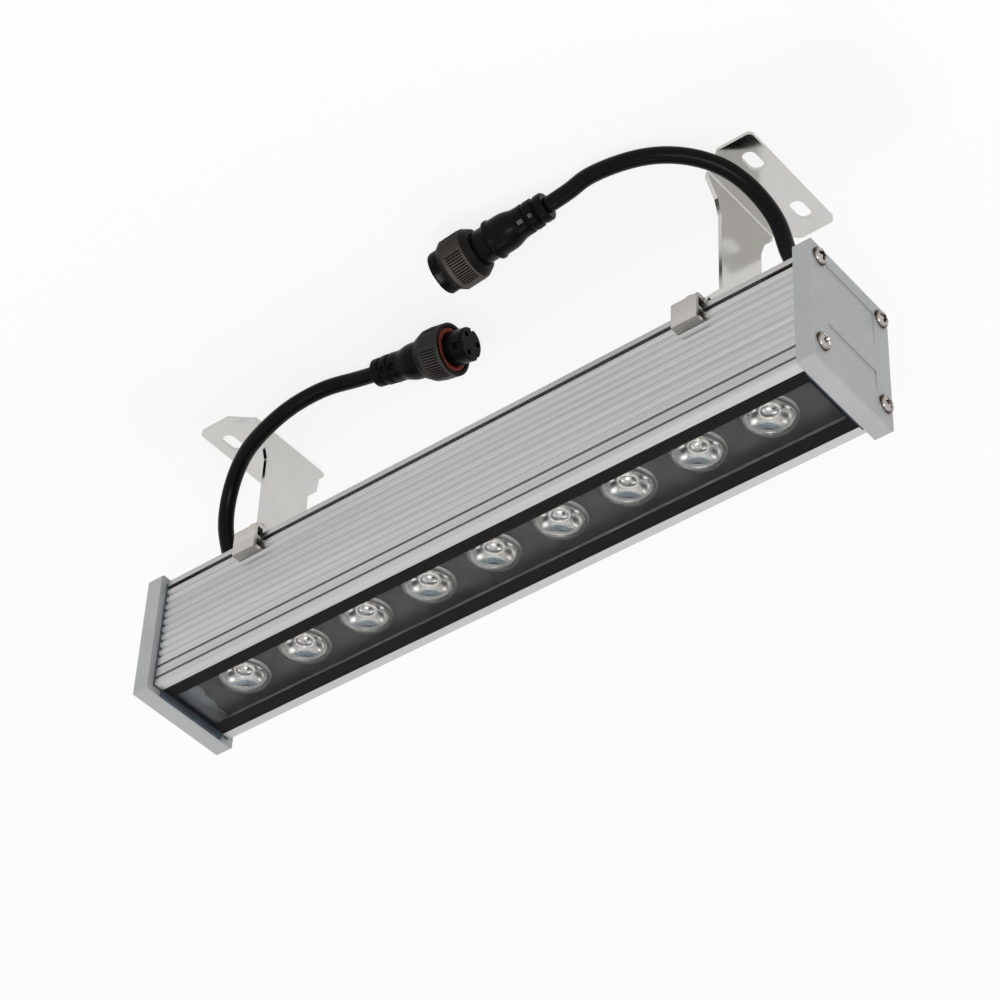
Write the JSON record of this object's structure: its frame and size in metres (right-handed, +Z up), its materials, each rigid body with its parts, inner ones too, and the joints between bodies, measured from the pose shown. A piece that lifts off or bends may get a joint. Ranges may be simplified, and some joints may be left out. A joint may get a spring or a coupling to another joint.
{
  "type": "outdoor wall washer light",
  "caption": "Linear outdoor wall washer light: finned extrusion with a glass window over a row of lenses, two adjustable bent brackets, and two cables with round screw couplings.",
  "frame": {"origin": "centre of the footprint, on the plane that the two bracket feet stand on", "axes": "+X along the lamp, +Z up from the feet to the window, +Y across the lamp away from the cables' side"},
  "size_m": [0.3044, 0.0803, 0.1175],
  "materials": {
    "bare_aluminium": "extruded, satin",
    "cap_paint": "matte silver grey paint",
    "gasket_rubber": "matte",
    "bright_steel": "bright",
    "sheet_steel": "smooth bright sheet",
    "clip_aluminium": "extruded, satin",
    "clear_glass": "clear",
    "black_band": "dull black",
    "black_rubber": "soft sheen",
    "plate_grey": "matte dark grey",
    "lens_clear": "clear moulded",
    "board_white": "white solder mask",
    "emitter_yellow": "phosphor",
    "board_green": "solder mask",
    "part_black": "moulded",
    "plug_black": "moulded, soft sheen",
    "knurl_grey": "dark warm grey, dull",
    "brass": "bright",
    "seal_red": "matte dark red"
  },
  "bodies": {
    "lamp": {"housing": "bare_aluminium", "end_cap_left": "cap_paint", "end_cap_right": "cap_paint", "cap_gasket_left": "gasket_rubber", "cap_gasket_right": "gasket_rubber", "cap_screws_left": "bright_steel", "cap_screws_right": "bright_steel", "cover_glass": "clear_glass", "glass_border": "black_band", "glass_seal": "black_rubber", "lens_plate": "plate_grey", "lenses": "lens_clear", "lamp_board": "board_white", "lamp_emitters": "emitter_yellow", "driver_board": "board_green", "driver_parts": "part_black", "gland_left": "plug_black", "gland_right": "plug_black", "gland_nut_left": "plug_black", "gland_nut_right": "plug_black", "cable_left": "black_rubber", "cable_right": "black_rubber", "plug_one_boot": "plug_black", "plug_one_shell": "plug_black", "plug_one_collar": "knurl_grey", "plug_one_insert": "plug_black", "plug_one_pins": "brass", "plug_two_boot": "plug_black", "plug_two_shell": "plug_black", "plug_two_insert": "plug_black", "plug_two_seal": "seal_red"},
    "left_bracket": {"bracket_left": "sheet_steel", "clip_left_front": "clip_aluminium", "clip_left_back": "clip_aluminium", "clip_bolts_left": "bright_steel", "spring_washers_left": "bright_steel", "flat_washers_left": "bright_steel"},
    "right_bracket": {"bracket_right": "sheet_steel", "clip_right_front": "clip_aluminium", "clip_right_back": "clip_aluminium", "clip_bolts_right": "bright_steel", "spring_washers_right": "bright_steel", "flat_washers_right": "bright_steel"},
    "coupling_nut": {"coupling_nut": "knurl_grey"}
  },
  "joints": [
    {"name": "left_bracket_slide", "type": "slide", "parent": "lamp", "child": "left_bracket", "axis": [1, 0, 0], "range_m": [-0.008, 0.06]},
    {"name": "right_bracket_slide", "type": "slide", "parent": "lamp", "child": "right_bracket", "axis": [-1, 0, 0], "range_m": [-0.008, 0.015]},
    {"name": "coupling_nut_turn", "type": "hinge", "parent": "lamp", "child": "coupling_nut", "pos_m": [0.02097, -0.01201, 0.01013], "axis": [-0.9839, 0.0688, 0.165], "continuous": true}
  ]
}
